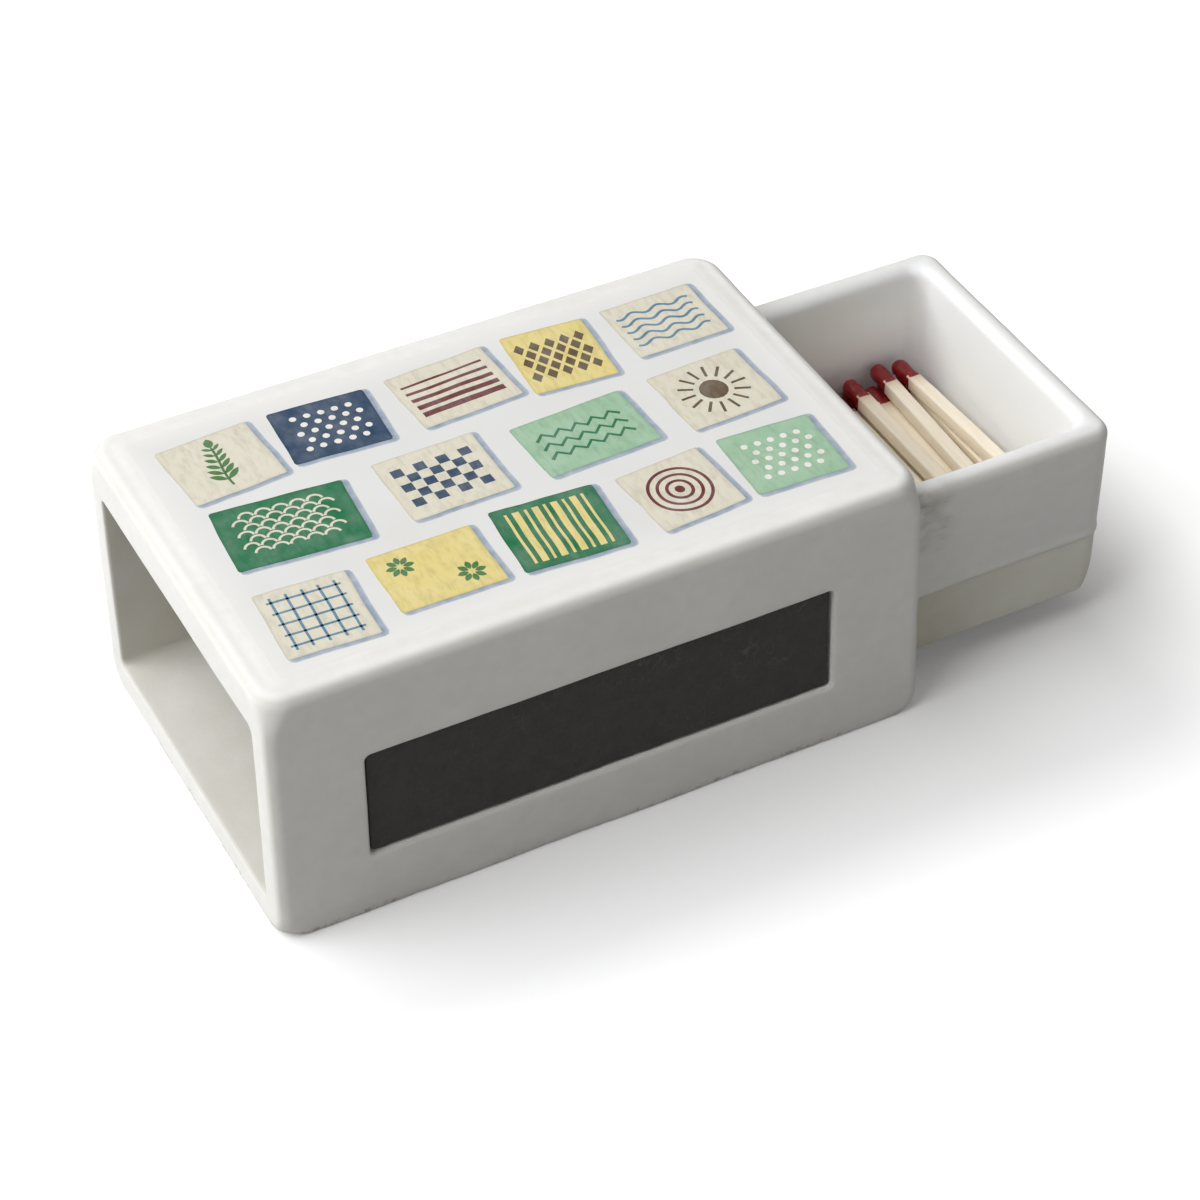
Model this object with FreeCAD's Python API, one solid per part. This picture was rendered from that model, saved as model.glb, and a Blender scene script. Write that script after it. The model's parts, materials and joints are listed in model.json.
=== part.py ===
import FreeCAD, Part
import math
import os

# A ceramic box for matches: a sleeve open at both ends, a tray that slides through it, and the tray's load
# of matches. Sizes are in millimetres. X runs along the sleeve, the striking side faces -Y and Z is up.
# The origin is the centre of the sleeve's base. The tray is modelled drawn out towards +X.

# Matches
match_length = 45.0
stick_side = 2.5
stick_chamfer = 0.15
head_length = 5.0
head_diameter = 3.0
neck_diameter = 2.7
head_gap = 0.35
row_clearance = 0.05
wall_clearance = 0.3
dense_rows = 3
loose_matches = 18
loose_yaw = 2.5
head_stagger_share = 0.7
# The turn, in radians, from one match to the next in the pattern of small offsets.
wobble_step = 2.4

# Tray
tray_wall = 4.4
tray_floor = 4.6
tray_depth = 28.3
tray_corner_radius = 3.6
tray_foot_radius = 0.8
tray_inside_corner_radius = 3.0
tray_inside_floor_radius = 2.0
tray_drawn = 39.0
glaze_line_height = 11.6
glaze_step = 0.3
rim_radius_share = 0.45

# Sleeve
sleeve_length = 110.0
side_wall = 5.8
sleeve_floor = 5.4
sleeve_roof = 8.4
side_gap = 0.5
top_gap = 0.6
running_gap = 0.2
upright_radius_share = 0.37
roof_radius_share = 0.35
mouth_radius_share = 0.13
base_edge_radius = 0.5

# Striking strip and its recess
striker_length = 78.0
striker_height = 19.6
striker_thickness = 0.8
striker_corner_radius = 0.7
striker_from_left_end = 15.5
striker_from_base = 11.7
striker_clearance = 0.15
striker_setback = 0.8
lip_radius_share = 0.85

# Printed transfer on the roof
transfer_thickness = 0.1
transfer_margin = 4.6
transfer_corner_radius = 1.2

# Cuts run past the faces that they open by this much.
overrun = 1.0
# Two coordinates closer than this are the same.
same_place = 0.001


def fillet_reach(radius, height):
    """How far a floor fillet stands out from its wall, at a height above the floor."""
    above = max(radius - height, 0)
    return radius - math.sqrt(radius ** 2 - above ** 2)


# Sizes that follow from the driving dimensions
head_radius = head_diameter / 2
stick_lift = row_clearance + head_radius - stick_side / 2
wall_stand_off = fillet_reach(tray_inside_floor_radius, stick_lift) + wall_clearance
head_pitch = head_diameter + head_gap
row_pitch = head_radius + stick_side / 2 + row_clearance
head_stagger = head_stagger_share * wall_stand_off

inside_width = match_length + 2 * wall_stand_off
tray_width = inside_width + 2 * tray_wall
tray_length = sleeve_length
inside_length = tray_length - 2 * tray_wall
tray_height = tray_floor + tray_depth
rim_radius = rim_radius_share * tray_wall

tunnel_width = tray_width + 2 * side_gap
tunnel_height = running_gap + tray_height + top_gap
tunnel_radius = min(rim_radius, tray_foot_radius) + running_gap
sleeve_width = tunnel_width + 2 * side_wall
sleeve_height = sleeve_floor + tunnel_height + sleeve_roof
upright_radius = upright_radius_share * side_wall
roof_radius = roof_radius_share * side_wall
mouth_radius = mouth_radius_share * min(side_wall, sleeve_floor)

tray_bottom = sleeve_floor + running_gap
tray_rim = tray_bottom + tray_height
pile_bottom = tray_bottom + tray_floor

striker_middle_x = striker_from_left_end + striker_length / 2 - sleeve_length / 2
striker_middle_z = striker_from_base + striker_height / 2
recess_depth = striker_thickness + striker_setback
front_face = -sleeve_width / 2

UP = FreeCAD.Vector(0, 0, 1)
ALONG = FreeCAD.Vector(1, 0, 0)
ACROSS = FreeCAD.Vector(0, 1, 0)
ORIGIN = FreeCAD.Vector(0, 0, 0)


def block(length, width, height, middle):
    """A box of the given size around its middle point."""
    half = FreeCAD.Vector(length / 2, width / 2, height / 2)
    return Part.makeBox(length, width, height, middle - half)


def edges_along(shape, axis):
    """The straight edges of a shape that run along an axis."""
    found = []
    for edge in shape.Edges:
        run = edge.Vertexes[-1].Point - edge.Vertexes[0].Point
        if run.Length > same_place and run.cross(axis).Length < same_place:
            found.append(edge)
    return found


def edges_in_plane(shape, axis, place):
    """The edges of a shape that lie in the plane across an axis at a place along it."""
    found = []
    for edge in shape.Edges:
        box = edge.BoundBox
        low = FreeCAD.Vector(box.XMin, box.YMin, box.ZMin).dot(axis)
        high = FreeCAD.Vector(box.XMax, box.YMax, box.ZMax).dot(axis)
        if abs(low - place) < same_place and abs(high - place) < same_place:
            found.append(edge)
    return found


def rounded_block(length, width, height, radius, middle, axis=UP):
    """A box whose four edges along one axis are rounded."""
    shape = block(length, width, height, middle)
    return shape.makeFillet(radius, edges_along(shape, axis))


def make_sleeve():
    """The outer box: a tunnel from end to end, a soft roof edge and the striker's recess."""
    middle = FreeCAD.Vector(0, 0, sleeve_height / 2)
    body = rounded_block(sleeve_length, sleeve_width, sleeve_height, upright_radius, middle)
    body = body.makeFillet(roof_radius, edges_in_plane(body, UP, sleeve_height))
    body = body.makeFillet(base_edge_radius, edges_in_plane(body, UP, 0))
    tunnel_middle = FreeCAD.Vector(0, 0, sleeve_floor + tunnel_height / 2)
    tunnel_length = sleeve_length + 2 * overrun
    tunnel = rounded_block(tunnel_length, tunnel_width, tunnel_height, tunnel_radius, tunnel_middle, ALONG)
    body = body.cut(tunnel)
    for end in (-sleeve_length / 2, sleeve_length / 2):
        mouth = [edge for edge in edges_in_plane(body, ALONG, end) if is_in_tunnel(edge)]
        body = body.makeFillet(mouth_radius, mouth)
    body = body.cut(striker_recess())
    lip = [edge for edge in edges_in_plane(body, ACROSS, front_face) if is_at_recess(edge)]
    return body.makeFillet(lip_radius_share * striker_setback, lip)


def is_in_tunnel(edge):
    """Whether an edge of an end face belongs to the tunnel's mouth."""
    box = edge.BoundBox
    inside_y = max(abs(box.YMin), abs(box.YMax)) < tunnel_width / 2 + same_place
    above_floor = box.ZMin > sleeve_floor - same_place
    below_roof = box.ZMax < sleeve_floor + tunnel_height + same_place
    return inside_y and above_floor and below_roof


def is_at_recess(edge):
    """Whether an edge of the front face belongs to the striker's recess."""
    box = edge.BoundBox
    reach = striker_length / 2 + striker_clearance + same_place
    rise = striker_height / 2 + striker_clearance + same_place
    near_x = max(abs(box.XMin - striker_middle_x), abs(box.XMax - striker_middle_x)) < reach
    near_z = max(abs(box.ZMin - striker_middle_z), abs(box.ZMax - striker_middle_z)) < rise
    return near_x and near_z


def striker_plate(thickness, back, grow):
    """A plate with rounded corners, upright in the front side, from a depth behind the front face."""
    middle = FreeCAD.Vector(striker_middle_x, front_face + back - thickness / 2, striker_middle_z)
    length = striker_length + 2 * grow
    height = striker_height + 2 * grow
    return rounded_block(length, thickness, height, striker_corner_radius + grow, middle, ACROSS)


def striker_recess():
    """The cut for the striker: a little larger than the strip, and deeper by its setback."""
    return striker_plate(recess_depth + overrun, recess_depth, striker_clearance)


def make_striker_strip():
    """The strip, bonded to the back of its recess."""
    return striker_plate(striker_thickness, recess_depth, 0)


def make_printed_transfer():
    """The thin printed film on the roof's flat."""
    middle = FreeCAD.Vector(0, 0, sleeve_height + transfer_thickness / 2)
    length = sleeve_length - 2 * transfer_margin
    width = sleeve_width - 2 * transfer_margin
    return rounded_block(length, width, transfer_thickness, transfer_corner_radius, middle)


def make_tray():
    """The drawer: a foot band below the glaze line, the body above it, and the hollow for the matches."""
    foot_middle = FreeCAD.Vector(tray_drawn, 0, tray_bottom + glaze_line_height / 2)
    foot = rounded_block(tray_length - 2 * glaze_step, tray_width - 2 * glaze_step, glaze_line_height,
                         tray_corner_radius - glaze_step, foot_middle)
    foot = foot.makeFillet(tray_foot_radius, edges_in_plane(foot, UP, tray_bottom))
    body_height = tray_height - glaze_line_height
    body_middle = FreeCAD.Vector(tray_drawn, 0, tray_rim - body_height / 2)
    body = rounded_block(tray_length, tray_width, body_height, tray_corner_radius, body_middle)
    hollow_height = tray_depth + overrun
    hollow_middle = FreeCAD.Vector(tray_drawn, 0, pile_bottom + hollow_height / 2)
    hollow = rounded_block(inside_length, inside_width, hollow_height, tray_inside_corner_radius, hollow_middle)
    hollow = hollow.makeFillet(tray_inside_floor_radius, edges_in_plane(hollow, UP, pile_bottom))
    tray = body.fuse(foot).cut(hollow)
    return tray.makeFillet(rim_radius, edges_in_plane(tray, UP, tray_rim))


def make_stick():
    """A square stick with its long edges eased, along Y, for a match whose middle is the origin."""
    length = match_length - head_length
    middle = FreeCAD.Vector(0, (length - match_length) / 2, 0)
    stick = block(stick_side, length, stick_side, middle)
    return stick.makeChamfer(stick_chamfer, edges_along(stick, ACROSS))


def make_head():
    """A dipped head: it swells from the stick and ends in a round tip."""
    neck = match_length / 2 - head_length
    tip = match_length / 2
    shoulder = tip - head_radius
    on_arc = head_radius * math.cos(math.pi / 4)
    base_point = FreeCAD.Vector(0, neck, 0)
    neck_point = FreeCAD.Vector(neck_diameter / 2, neck, 0)
    shoulder_point = FreeCAD.Vector(head_radius, shoulder, 0)
    arc_point = FreeCAD.Vector(on_arc, shoulder + on_arc, 0)
    tip_point = FreeCAD.Vector(0, tip, 0)
    edges = [Part.makeLine(base_point, neck_point),
             Part.makeLine(neck_point, shoulder_point),
             Part.Arc(shoulder_point, arc_point, tip_point).toShape(),
             Part.makeLine(tip_point, base_point)]
    half = Part.Face(Part.Wire(edges))
    return half.revolve(ORIGIN, ACROSS, 360)


def placed(shape, x, y, z, yaw=0):
    """A copy of a match's piece, turned about the upright axis and moved to its place in the tray."""
    copy = shape.copy()
    copy.rotate(ORIGIN, UP, yaw)
    copy.translate(FreeCAD.Vector(tray_drawn + x, y, z))
    return copy


def row_height(row):
    """The height of the middle of a row's sticks; the bottom row's heads rest on the tray's floor."""
    return pile_bottom + row_clearance + head_radius + row * row_pitch


def dense_row_places(row):
    """Where the matches of a close-packed row lie; each row stands over the gaps of the one below."""
    full = int((inside_length - 2 * wall_stand_off - head_diameter) / head_pitch) + 1
    count = full - row % 2
    stagger = head_stagger if row else 0
    places = []
    for index in range(count):
        x = (index - (count - 1) / 2) * head_pitch
        y = stagger * math.sin(wobble_step * (index + row))
        places.append((x, y, row_height(row), 0))
    return places


def loose_places():
    """Where the loose matches on top lie, from the drawn end of the tray inwards, each a little askew."""
    half_sweep = match_length / 2 * math.sin(math.radians(loose_yaw))
    last = inside_length / 2 - wall_stand_off - head_radius - half_sweep
    spacing = 2 * last / (loose_matches - 1)
    height = row_height(dense_rows - 1) + head_diameter + row_clearance
    places = []
    for index in range(loose_matches):
        yaw = loose_yaw * math.cos(wobble_step * index)
        y = head_stagger * math.sin(wobble_step * index)
        places.append((last - index * spacing, y, height, yaw))
    return places


def make_matches():
    """Sticks and heads: one node of each per close-packed row, and one of each per loose match."""
    stick = make_stick()
    head = make_head()
    nodes = {}
    for row in range(dense_rows):
        places = dense_row_places(row)
        nodes[f"match_sticks_row_{row + 1}"] = Part.makeCompound([placed(stick, *place) for place in places])
        nodes[f"match_heads_row_{row + 1}"] = Part.makeCompound([placed(head, *place) for place in places])
    for index, place in enumerate(loose_places()):
        nodes[f"match_stick_{index + 1:02d}"] = placed(stick, *place)
        nodes[f"match_head_{index + 1:02d}"] = placed(head, *place)
    return nodes


def main():
    """Make every node and write it to its own file."""
    os.makedirs("parts", exist_ok=True)
    nodes = {"sleeve": make_sleeve(),
             "striker_strip": make_striker_strip(),
             "printed_transfer": make_printed_transfer(),
             "tray": make_tray()}
    nodes.update(make_matches())
    for name, shape in nodes.items():
        shape.exportStep(f"parts/{name}.step")
        box = shape.BoundBox
        print(f"{name}: {len(shape.Solids)} solids, volume {shape.Volume:.1f}, valid {shape.isValid()}, "
              f"x {box.XMin:.2f} to {box.XMax:.2f}, y {box.YMin:.2f} to {box.YMax:.2f}, "
              f"z {box.ZMin:.2f} to {box.ZMax:.2f}")


main()
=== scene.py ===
import json
import math

import bmesh
import bpy
import numpy as np
from mathutils import Matrix, Vector, noise

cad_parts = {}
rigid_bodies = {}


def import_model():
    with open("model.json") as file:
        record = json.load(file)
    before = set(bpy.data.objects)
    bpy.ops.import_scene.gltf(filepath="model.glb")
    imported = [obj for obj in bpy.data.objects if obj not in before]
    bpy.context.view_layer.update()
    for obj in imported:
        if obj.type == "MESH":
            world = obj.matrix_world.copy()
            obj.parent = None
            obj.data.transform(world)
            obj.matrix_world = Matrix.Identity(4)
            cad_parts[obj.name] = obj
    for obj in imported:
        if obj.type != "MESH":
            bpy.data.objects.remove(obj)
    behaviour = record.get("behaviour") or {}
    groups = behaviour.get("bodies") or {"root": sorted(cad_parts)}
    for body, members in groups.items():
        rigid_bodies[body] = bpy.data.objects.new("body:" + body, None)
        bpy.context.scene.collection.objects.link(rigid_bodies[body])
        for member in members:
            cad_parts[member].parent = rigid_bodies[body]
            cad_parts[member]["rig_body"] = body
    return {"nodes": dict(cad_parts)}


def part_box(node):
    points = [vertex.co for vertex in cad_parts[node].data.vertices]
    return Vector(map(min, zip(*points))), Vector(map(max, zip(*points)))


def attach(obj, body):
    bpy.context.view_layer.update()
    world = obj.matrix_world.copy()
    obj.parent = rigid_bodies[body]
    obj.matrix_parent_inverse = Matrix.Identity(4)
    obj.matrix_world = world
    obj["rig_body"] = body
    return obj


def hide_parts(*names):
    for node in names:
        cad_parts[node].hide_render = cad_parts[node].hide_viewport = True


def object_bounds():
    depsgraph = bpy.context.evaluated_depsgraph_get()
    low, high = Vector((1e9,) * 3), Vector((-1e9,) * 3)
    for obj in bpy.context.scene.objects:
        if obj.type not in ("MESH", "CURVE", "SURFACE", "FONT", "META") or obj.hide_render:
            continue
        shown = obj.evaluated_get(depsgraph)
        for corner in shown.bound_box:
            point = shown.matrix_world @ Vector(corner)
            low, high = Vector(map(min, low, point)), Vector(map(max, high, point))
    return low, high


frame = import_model()
cad_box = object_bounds()
nodes = frame["nodes"]

# A white glazed box for matches, dressed around its solids. Sizes are in metres, in the frame of the solids:
# X runs along the sleeve, the striking side faces -Y and Z is up.
MM = 0.001

# Camera at the photograph's viewing angle
CAMERA_AZIMUTH = math.radians(-27.713)
CAMERA_ELEVATION = math.radians(41.196)
CAMERA_DISTANCE = 524.2 * MM
CAMERA_LENS = 100.7
CAMERA_SENSOR = 36.0
CAMERA_NEAREST = 10 * MM
CAMERA_FARTHEST = 20.0
AIM_HEIGHT = 23.74 * MM
AIM_TO_RIGHT = 14.455 * MM
AIM_UPWARDS = -3.608 * MM

# Light and floor
WHITE = (1.0, 1.0, 1.0, 1.0)
MAIN_PLACE = (-0.912, 0.244, 1.166)
MAIN_SIZE = 1.8
MAIN_POWER = 28.0
FILL_PLACE = (-1.378, 0.369, 0.464)
FILL_SIZE = 1.2
FILL_POWER = 2.1
LAMP_COLOUR = (0.985, 0.99, 1.0)
AMBIENT_STRENGTH = 0.213
AMBIENT_COLOUR = (1.0, 0.985, 0.965, 1.0)
FLOOR_SIZE = 6.0
# The floor's painted glow: it grows with distance from the object's box, which is widened at the front and
# drawn in at the right
FADE_FRONT = 14 * MM
FADE_RIGHT = 10 * MM
FADE_NEAR = (7 * MM, 36 * MM)
LIFT_NEAR = (0.09, 0.42)
FADE_FAR = (200 * MM, 700 * MM)
LIFT_FAR = (0.0, 0.6)

# Cells of the meshes: their size, and how many make half of a round corner
CELL = 1.0 * MM
ARC_CELLS = 5
SMALL_ARC_CELLS = 4

# Sleeve: what the solid's box doesn't tell
UPRIGHT_RADIUS = 2.15 * MM
ROOF_RADIUS = 2.03 * MM
BASE_RADIUS = 0.5 * MM
TUNNEL_RADIUS = 1.0 * MM
MOUTH_RADIUS = 0.7 * MM
ROOF_CORNER_GROWTH = 3.0 * MM
ROOF_CORNER_DEPTH = 7.0 * MM
BASE_CORNER_GROWTH = 5.0 * MM
BASE_CORNER_DEPTH = 3.8 * MM
SIDE_GAP = 0.5 * MM
TOP_GAP = 0.6 * MM
RUNNING_GAP = 0.2 * MM
RECESS_CLEARANCE = 0.15 * MM
RECESS_CORNER = 0.85 * MM
LIP_RADIUS = 0.68 * MM
END_LEAN = 1.1 * MM
SLEEVE_BASE_DARK_END = -30.0 * MM

# Tray: what the solid's box doesn't tell
TRAY_WALL = 4.4 * MM
TRAY_FLOOR = 4.6 * MM
TRAY_CORNER = 3.6 * MM
FOOT_RADIUS = 0.8 * MM
INSIDE_CORNER = 3.0 * MM
INSIDE_FLOOR_RADIUS = 2.0 * MM
INSIDE_START_SHARE = 0.45
INSIDE_END_SHARE = 0.95
RIM_RADIUS = 1.98 * MM
GLAZE_LINE_HEIGHT = 11.6 * MM
GLAZE_STEP = 0.3 * MM
BEAD_HEIGHT = 2.1 * MM
BEAD_DEPTH = 0.17 * MM
BEAD_START_SHARE = 0.2
BEAD_STEPS = 6
GROOVE_DEPTH = 0.14 * MM
GLAZE_LINE_SWAY = 0.9 * MM
SWAY_SIZE = 7.0 * MM
FINE_SWAY_SHARE = 0.4
# The tray's bare band is painted darker next to the sleeve, fading out up to here: painted shade.
TRAY_SHADE_END = 80.0 * MM
END_FOOT_HEIGHT = 6.5 * MM
END_FOOT_DEPTH = 2.0 * MM
END_FOOT_REACH = 12.0 * MM

# Hand-made unevenness of the ceramic
BROAD_SIZE = 19.0 * MM
BROAD_DEPTH = 0.22 * MM
FINE_SIZE = 4.5 * MM
FINE_DEPTH = 0.07 * MM
ROUGH_SIZE = 1.5 * MM
ROUGH_DEPTH = 0.42 * MM
ROUGH_REACH = 0.8 * MM
ROUGH_PATCH_SIZE = 16.0 * MM
ROUGH_PATCH_SHARES = (0.42, 0.62)
FADE_WIDTH = 2.0 * MM
FADE_STEEPNESS = 8

# Striking strip
STRIP_CELL = 0.42 * MM
STRIP_CORNER = 0.7 * MM
STRIP_EDGE = 0.2 * MM
DAB_SIZE = 3.1 * MM
DAB_DEPTH = 0.14 * MM
GRIT_SIZE = 1.1 * MM
GRIT_DEPTH = 0.09 * MM

# Matches
STICK_STATIONS = 15
STICK_CELLS = (4, 4)
STICK_EDGE_SHARE = 0.1
STICK_SHRINK_SHARE = 0.06
STICK_SHRINK_SIZE = 3.0 * MM
STICK_BOW = 0.14 * MM
STICK_TWIST = math.radians(3)
STICK_SLANT = 0.35
STICK_END_DEPTH = 0.3 * MM
CHANCE_SCALE = 7.3
CHANCE_STEP = 1.7 * MM
SKIRT = 0.7 * MM
HEAD_AROUND = 20
HEAD_RINGS = 16
HEAD_REACH_SHARE = 0.995
HEAD_NECK_SHARE = 0.8
HEAD_SWELL_SHARE = 0.8
HEAD_SQUARE_LENGTH = 1.6 * MM
HEAD_WRAP_SHARE = 1.04
HEAD_CORNER_SHARE = 1.27
HEAD_LUMP = 0.1 * MM
HEAD_LUMP_SIZE = 1.1 * MM
HEAD_LUMP_LEVEL = 0.6
HEAD_SAG = 0.35 * MM
HEAD_SAG_SIZE = 0.9 * MM

# Printed film and its design, from the roof upwards
FILM_CELL = 4.0 * MM
FILM_ARC_CELLS = 3
FILM_CORNER = 1.2 * MM
FILM_LEAST_CORNER = 0.2 * MM
FILM_THICKNESS = 0.03 * MM
FILM_SLOPE = 0.5 * MM
FILM_FADE = 6.0 * MM
FILM_MARKS = (1.0, 0.9, 0.4, 0.0)
TILE_THICKNESS = 0.02 * MM
INK_THICKNESS = 0.012 * MM
TILE_CORNER = 0.5 * MM
TILE_LEAST_CORNER = 0.1 * MM
TILE_CELL = 1.2 * MM
TILE_EDGE_BAND = 0.55 * MM
TILE_INSETS = (0.0, 0.0, TILE_EDGE_BAND / 3, TILE_EDGE_BAND)
TILE_MARKS = (1.0, 1.0, 0.45, 0.0)
TILE_MARGIN = 1.5 * MM
TILE_WOBBLE = 0.16 * MM
WOBBLE_SIZE = 5.0 * MM
WASH_THICKNESS = 0.008 * MM
WASH_GROWTH = 0.55 * MM
WASH_INSETS = (-WASH_GROWTH, -WASH_GROWTH, -WASH_GROWTH / 2, TILE_EDGE_BAND)
WASH_MARKS = (0.0, 0.0, 0.75, 1.0)
WASH_SHIFT = np.array([0.55, -0.45]) * MM
ROW_PITCH = 19.0 * MM
SWAY = 0.55 * MM
SWAY_TURN = math.radians(4.5)
SWAY_ALONG = 2.4 / MM
SWAY_ACROSS = 3.1 / MM
DEEP_SHARE = 0.68
PALE_SHARE = 0.1


def linear(red, green, blue):
    """A colour for a shader, from its values out of 255 on a screen."""
    def one(value):
        share = value / 255
        return share / 12.92 if share <= 0.04045 else ((share + 0.055) / 1.055) ** 2.4
    return one(red), one(green), one(blue), 1.0


FLOOR_GREY = linear(168, 167, 164)
FLOOR_WHITE = linear(249, 249, 249)


def smooth_share(value, low, high):
    """A share that eases from zero to one while a value goes from low to high."""
    share = min(max((value - low) / (high - low), 0.0), 1.0)
    return share * share * (3 - 2 * share)


def cloud(point, size):
    """Soft noise from zero to one at a point, with features of a size."""
    return 0.5 + 0.5 * noise.noise(Vector(point) / size)


def shares(count):
    """Evenly spaced shares from zero up to one, without the one."""
    return np.arange(count) / count


def on_circle(angle):
    """The point of a unit circle at an angle."""
    return np.array([math.cos(angle), math.sin(angle)])


def turned(points, angle):
    """Flat points, turned about their origin."""
    cosine, sine = on_circle(angle)
    return np.asarray(points) @ np.array([[cosine, sine], [-sine, cosine]])


def box_of(node):
    """The lowest and the highest corner of a node's box."""
    return [np.array(corner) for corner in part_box(node)]


def steps_between(start, end):
    """Evenly spaced places between two ends, about a cell apart, without the ends."""
    count = int(round(abs(end - start) / CELL))
    return [start + (end - start) * step / count for step in range(1, count)]


def rounding(radius, count):
    """A rounded edge in steps from its flat to its wall: how far each is from the wall, and from the flat."""
    angles = np.linspace(0, math.pi / 2, count + 1)
    return [(radius * (1 - math.sin(angle)), radius * (1 - math.cos(angle))) for angle in angles]


def cell_counts(low, high, radius, cell, arc_cells):
    """How many cells the sides of a rounded rectangle get, with half an arc at each end of a side."""
    return tuple(int(round(length / cell)) + 2 * arc_cells for length in high - low - 2 * radius)


def rounded_outline(low, high, radius, cells, arc_cells):
    """Points round a rectangle with round corners, anticlockwise from the middle of the lowest corner's arc.

    The cells are given for one side of each direction, with half an arc at each end of the side.
    """
    low = np.asarray(low, float) + radius
    high = np.asarray(high, float) - radius
    centres = [low, np.array([high[0], low[1]]), high, np.array([low[0], high[1]])]
    eighth = math.pi / 4
    points = []
    for side in range(4):
        start = centres[side]
        end = centres[(side + 1) % 4]
        angle = (5 + 2 * side) * eighth
        edge = radius * on_circle(angle + eighth)
        straight = cells[side % 2] - 2 * arc_cells
        points += [start + radius * on_circle(angle + eighth * share) for share in shares(arc_cells)]
        points += [start + edge + (end - start) * share for share in shares(straight)]
        points += [end + radius * on_circle(angle + eighth * (1 + share)) for share in shares(arc_cells)]
    return np.array(points)


def rings_along(axis, low, high, radius, steps, cells, arc_cells):
    """Rounded rings across an axis, in steps that give how far each ring is drawn in and its place.

    The radius, before a ring is drawn in, is one for all rings or one for each.
    """
    rings = []
    for (inset, place), corner in zip(steps, np.broadcast_to(radius, len(steps))):
        ring = rounded_outline(low + inset, high - inset, corner - inset, cells, arc_cells)
        rings.append(np.insert(ring, axis, place, axis=1))
    return np.array(rings)


def four_sides(ring, cells):
    """The front, right, back and left side of a ring round a grid, each as its row or column runs."""
    wide, deep = cells
    closed = np.concatenate([ring, ring[:1]])
    front = closed[:wide + 1]
    right = closed[wide:wide + deep + 1]
    back = closed[wide + deep:2 * wide + deep + 1][::-1]
    left = closed[2 * wide + deep:][::-1]
    return front, right, back, left


def filled_grid(front, right, back, left):
    """A grid of points across a ring, from the points of its four sides."""
    across = np.linspace(0, 1, len(front))[:, None, None]
    along = np.linspace(0, 1, len(right))[None, :, None]
    between_long = (1 - along) * front[:, None] + along * back[:, None]
    between_short = (1 - across) * left[None] + across * right[None]
    near = (1 - across) * front[0] + across * front[-1]
    far = (1 - across) * back[0] + across * back[-1]
    return between_long + between_short - (1 - along) * near - along * far


def put_in_scene(name, data):
    """A new object in the scene."""
    thing = bpy.data.objects.new(name, data)
    bpy.context.scene.collection.objects.link(thing)
    return thing


class Skin:
    """The points and faces of one mesh, with a finish number for each face and a mark for each point."""

    def __init__(self):
        self.points = []
        self.marks = []
        self.faces = []
        self.finishes = []

    def add_points(self, points, mark=0.0):
        """Takes points in an array of any shape and gives their numbers in that shape."""
        points = np.asarray(points, float)
        first = len(self.points)
        self.points.extend(points.reshape(-1, 3).tolist())
        count = len(self.points) - first
        self.marks.extend([mark] * count)
        return first + np.arange(count).reshape(points.shape[:-1])

    def add_faces(self, faces, finish=0):
        """Takes faces as lists of point numbers."""
        self.faces.extend(faces)
        self.finishes.extend([finish] * len(faces))

    def add_grid(self, numbers, finish=0, kept=None):
        """Faces between the rows and columns of a grid of point numbers, or only the kept ones."""
        corners = [numbers[:-1, :-1], numbers[:-1, 1:], numbers[1:, 1:], numbers[1:, :-1]]
        quads = np.stack(corners, axis=-1)
        quads = quads.reshape(-1, 4) if kept is None else quads[kept]
        self.add_faces(quads.tolist(), finish)

    def add_wall(self, rings, finish=0, kept=None):
        """Faces between rings of point numbers, each ring closed on itself."""
        self.add_grid(np.hstack([rings, rings[:, :1]]), finish, kept)

    def add_fill(self, ring, cells, finish=0):
        """A grid of faces across a ring of point numbers."""
        sides = four_sides(ring, cells)
        points = filled_grid(*[np.array([self.points[number] for number in side]) for side in sides])
        numbers = np.empty(points.shape[:2], int)
        numbers[1:-1, 1:-1] = self.add_points(points[1:-1, 1:-1])
        numbers[:, 0], numbers[-1, :], numbers[:, -1], numbers[0, :] = sides
        self.add_grid(numbers, finish)

    def add_closed(self, rings, cells, finish=0):
        """Faces between rings of point numbers, and across the first and the last ring."""
        self.add_wall(rings, finish)
        self.add_fill(rings[0], cells, finish)
        self.add_fill(rings[-1], cells, finish)

    def to_piece(self, name, finishes, smooth=True):
        """The mesh as an object, with its faces turned outwards."""
        mesh = bpy.data.meshes.new(name)
        mesh.from_pydata(self.points, [], self.faces)
        for finish in finishes:
            mesh.materials.append(finish)
        mesh.polygons.foreach_set("material_index", self.finishes)
        form = bmesh.new()
        form.from_mesh(mesh)
        bmesh.ops.recalc_face_normals(form, faces=form.faces)
        form.to_mesh(mesh)
        form.free()
        if smooth:
            mesh.shade_smooth()
        piece = put_in_scene(name, mesh)
        carry(piece, "mark", self.marks)
        return piece


def carry(piece, name, values):
    """Gives a piece a named value at each of its points."""
    piece.data.attributes.new(name, "FLOAT", "POINT").data.foreach_set("value", values)


def settle(piece, body, slot, *replaced):
    """Lets a piece move with a body, is given the name of its finish, which is not used, and hides the solids
    it stands for.
    """
    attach(piece, body)
    if replaced:
        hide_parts(*replaced)


def vectors_of(layer, name):
    """All vectors of a layer of a mesh, as rows."""
    values = np.empty(len(layer) * 3)
    layer.foreach_get(name, values)
    return values.reshape(-1, 3)


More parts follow.
